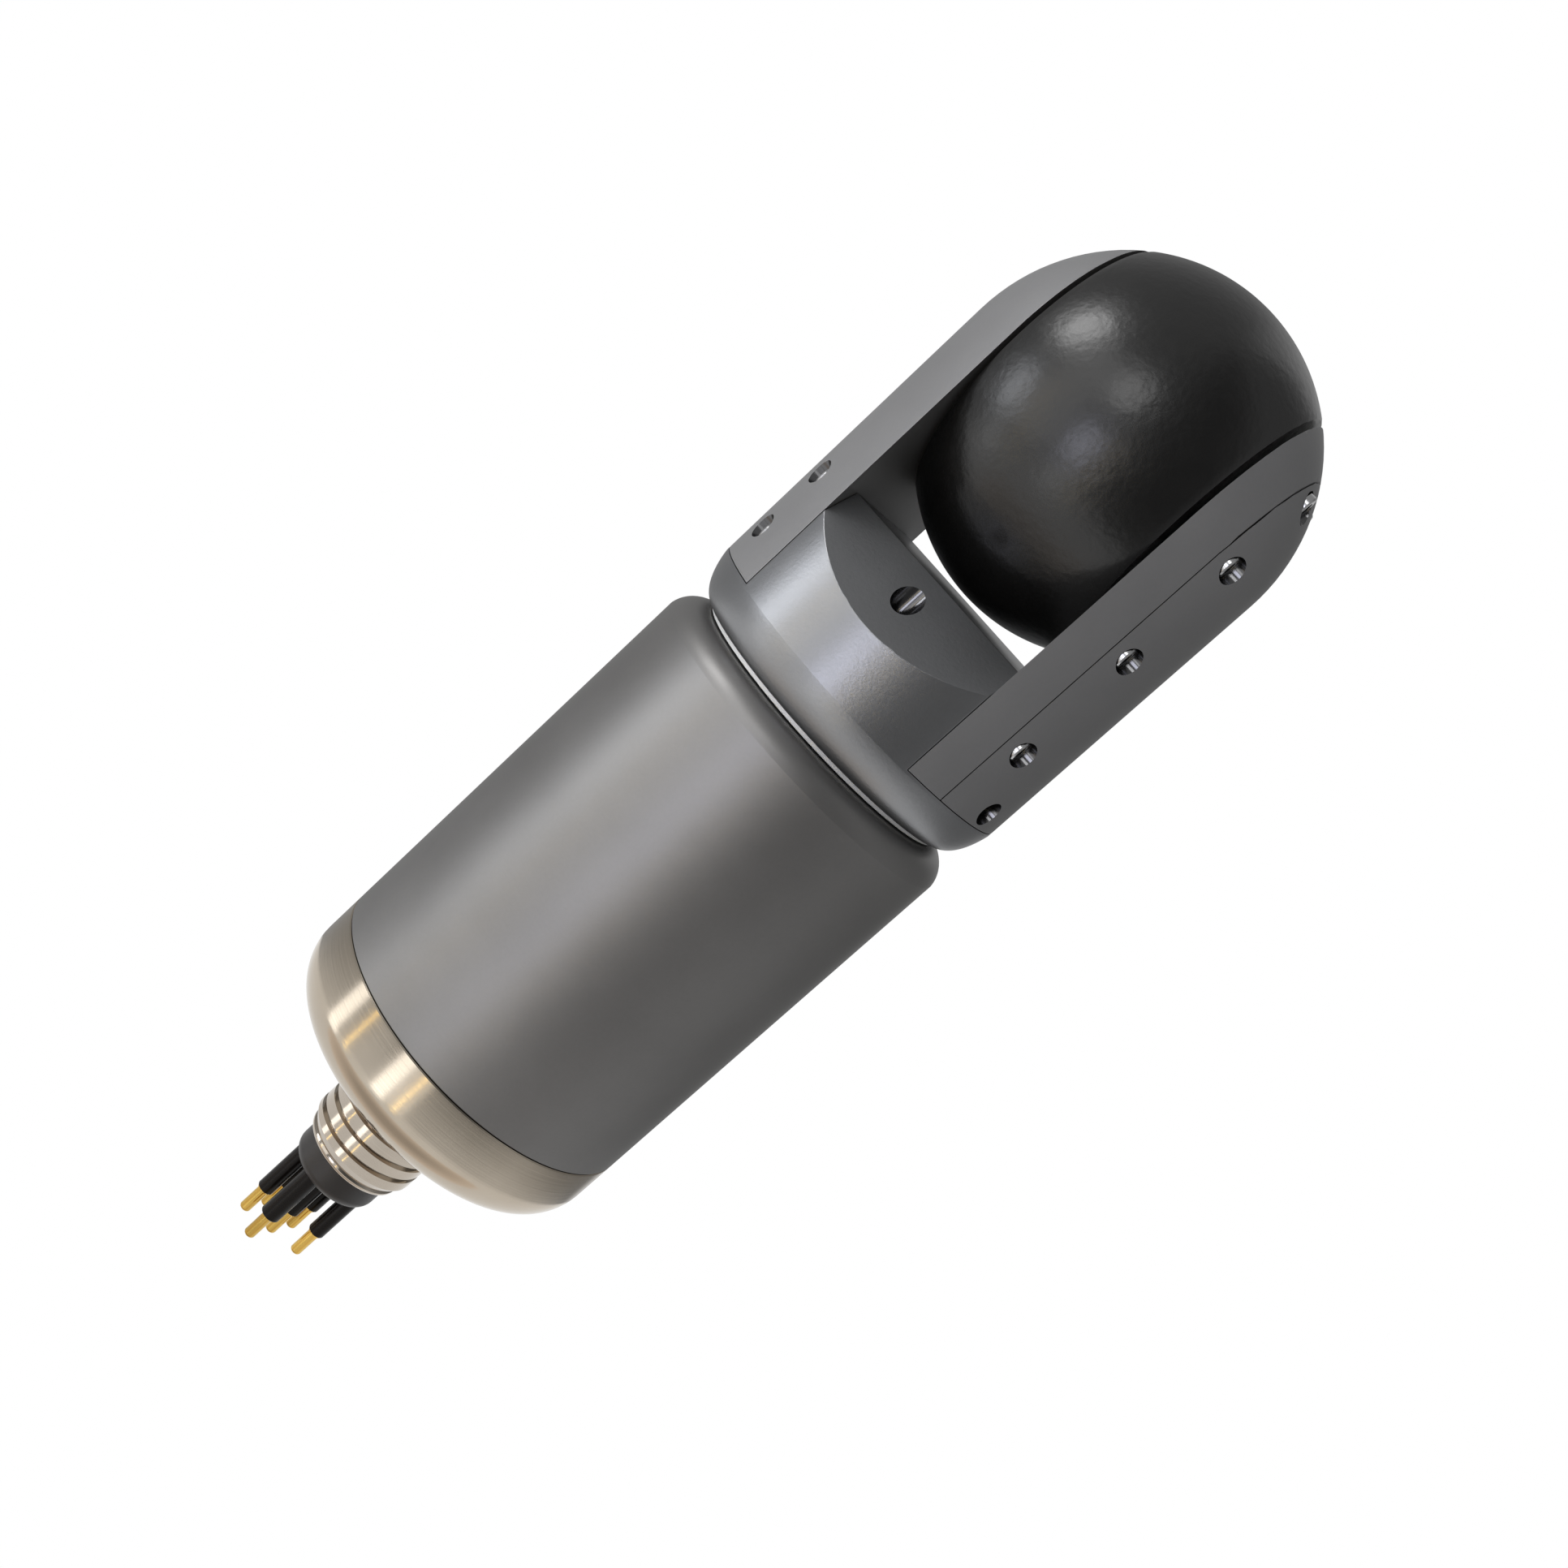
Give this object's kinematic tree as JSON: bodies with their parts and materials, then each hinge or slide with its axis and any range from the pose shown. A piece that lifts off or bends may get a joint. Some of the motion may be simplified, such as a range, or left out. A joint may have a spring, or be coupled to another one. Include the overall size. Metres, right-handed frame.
{
  "type": "dual-axis scanning sonar head",
  "caption": "Cylindrical underwater scanning sonar: sealed housing with bulkhead connector below, turning forked head above, and a tilting transducer ball between the arms.",
  "frame": {"origin": "on the pan axis, in the middle of the clamp band round the housing", "axes": "+Z along the pan axis towards the transducer ball, X along the tilt axis with the drive cover at +X, fork open towards -Y"},
  "size_m": [0.065, 0.065, 0.2365],
  "materials": {
    "housing_anodised": "satin hard-anodised grey",
    "head_anodised": "satin hard-anodised dark grey",
    "stainless": "turned and polished",
    "rubber_moulding": "moulded satin black",
    "rubber_seal": "matt black",
    "gold_plate": "gold plated",
    "black_moulding": "satin moulded black polyurethane",
    "circuit_board": "solder-masked laminate",
    "piezo_ceramic": "fired ceramic",
    "motor_steel": "blackened steel",
    "black_plastic": "moulded",
    "fastener_steel": "stainless, as machined"
  },
  "bodies": {
    "housing": {"end_cap": "stainless", "end_cap_o_ring": "rubber_seal", "main_housing": "housing_anodised", "connector_shell": "stainless", "connector_o_ring": "rubber_seal", "connector_nut": "fastener_steel", "connector_insert": "rubber_moulding", "contact_pin_1": "gold_plate", "contact_pin_2": "gold_plate", "contact_pin_3": "gold_plate", "contact_pin_4": "gold_plate", "contact_pin_5": "gold_plate", "contact_pin_6": "gold_plate", "retaining_ring": "fastener_steel", "pan_motor": "motor_steel", "main_board": "circuit_board", "slip_ring_stator": "black_plastic", "pan_bearing_lower": "fastener_steel", "bearing_spacer": "fastener_steel", "pan_bearing_upper": "fastener_steel", "shaft_seal": "rubber_seal"},
    "pan_head": {"head_base": "head_anodised", "pan_shaft": "stainless", "pan_rotor": "motor_steel", "slip_ring_rotor": "gold_plate", "left_arm": "head_anodised", "left_arm_screw_1": "fastener_steel", "left_arm_screw_2": "fastener_steel", "left_arm_screw_3": "fastener_steel", "left_arm_screw_4": "fastener_steel", "right_arm": "head_anodised", "drive_cover": "head_anodised", "cover_seal": "rubber_seal", "cover_screw_1": "fastener_steel", "cover_screw_2": "fastener_steel", "cover_screw_3": "fastener_steel", "cover_screw_4": "fastener_steel", "cover_screw_5": "fastener_steel", "cover_screw_6": "fastener_steel", "cover_screw_long_1": "fastener_steel", "cover_screw_long_2": "fastener_steel", "cover_screw_long_3": "fastener_steel", "cover_screw_long_4": "fastener_steel", "throat_screw_front": "fastener_steel", "throat_screw_back": "fastener_steel", "tilt_motor": "motor_steel", "drive_belt": "rubber_seal", "tilt_bearing_left": "fastener_steel", "tilt_bearing_right": "fastener_steel", "tilt_seal_left": "rubber_seal", "tilt_seal_right": "rubber_seal"},
    "motor_drive": {"motor_pulley": "black_plastic"},
    "ball": {"transducer_ball": "black_moulding", "tilt_shaft_left": "stainless", "tilt_shaft_right": "stainless", "tilt_pulley": "black_plastic", "transducer_element": "piezo_ceramic"}
  },
  "joints": [
    {"name": "pan", "type": "hinge", "parent": "housing", "child": "pan_head", "pos_m": [0, 0, 0.0439], "axis": [0, 0, 1], "continuous": true},
    {"name": "tilt", "type": "hinge", "parent": "pan_head", "child": "ball", "pos_m": [0, 0, 0.1078], "axis": [1, 0, 0], "range_deg": [-90, 90]},
    {"name": "motor_spin", "type": "hinge", "parent": "pan_head", "child": "motor_drive", "pos_m": [0, 0, 0.0625], "axis": [1, 0, 0], "range_deg": [-180, 180]}
  ],
  "couplings": [
    {"joint": "motor_spin", "follows": "tilt", "ratio": 2}
  ]
}
